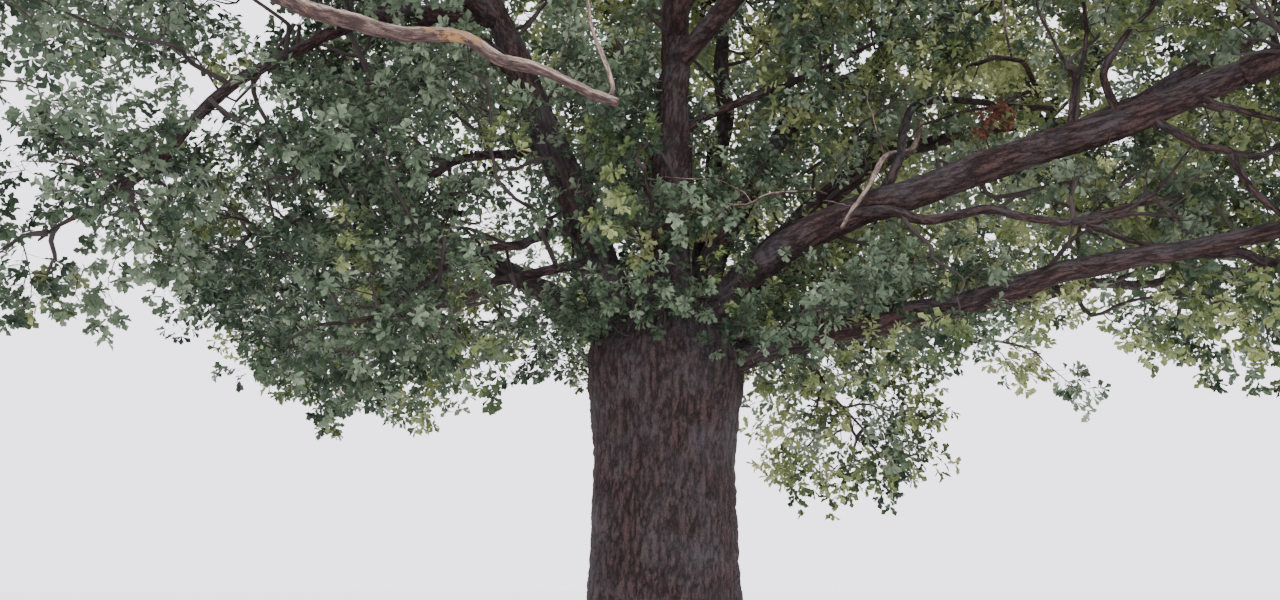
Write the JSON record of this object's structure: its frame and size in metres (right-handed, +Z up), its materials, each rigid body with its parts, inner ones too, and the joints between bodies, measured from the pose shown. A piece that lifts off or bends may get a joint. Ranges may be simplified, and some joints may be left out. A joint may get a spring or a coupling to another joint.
{
  "type": "oak tree",
  "caption": "Mature field oak in full leaf: short massive trunk with root flare, low fork, wide crooked boughs and lobed foliage in separate masses.",
  "frame": {"origin": "middle of the flat cut under the trunk, at ground level", "axes": "+Z up along the trunk; the pictured side faces -Y, with +X to its right"},
  "size_m": [23.2659, 23.1833, 17.6986],
  "materials": {
    "bark": "rough, deeply furrowed",
    "pale bark": "rough, barkless in places, with lichen",
    "foliage": "satin leaves on matte twigs"
  },
  "bodies": {
    "root": {"trunk": "bark", "leader": "bark", "left_stem": "bark", "right_bough": "bark", "back_stem": "bark", "upper_right": "bark", "mid_right": "bark", "low_right": "bark", "left_bough": "bark", "back_bough": "bark", "back_left_bough": "bark", "back_right_bough": "bark", "right_fork": "bark", "right_side": "bark", "left_droop": "bark", "left_upper_side": "bark", "left_middle_side": "bark", "left_lower_side": "bark", "front_left_bough": "bark", "bare_limb": "pale bark", "front_bough": "bark", "front_right_bough": "bark", "high_right": "bark", "high_front": "bark", "high_back_left": "bark", "high_front_left": "bark", "low_left": "bark", "outer_right": "bark", "hanging_right": "bark", "inner_right": "bark", "front_spur": "bark", "crown_top": "foliage", "crown_top_left": "foliage", "crown_top_back": "foliage", "crown_top_right": "foliage", "crown_top_front": "foliage", "high_back_left_foliage": "foliage", "high_front_left_foliage": "foliage", "upper_right_foliage": "foliage", "left_foliage": "foliage", "front_left_foliage": "foliage", "front_foliage": "foliage", "front_right_foliage": "foliage", "mid_right_foliage": "foliage", "right_foliage": "foliage", "right_fork_foliage": "foliage", "back_foliage": "foliage", "back_left_foliage": "foliage", "back_right_foliage": "foliage", "low_right_foliage": "foliage", "outer_right_foliage": "foliage", "right_side_foliage": "foliage", "left_upper_foliage": "foliage", "left_middle_foliage": "foliage", "left_lower_foliage": "foliage", "left_droop_foliage": "foliage", "low_left_foliage": "foliage", "hanging_right_foliage": "foliage", "inner_right_foliage": "foliage", "front_spur_foliage": "foliage"}
  },
  "joints": []
}
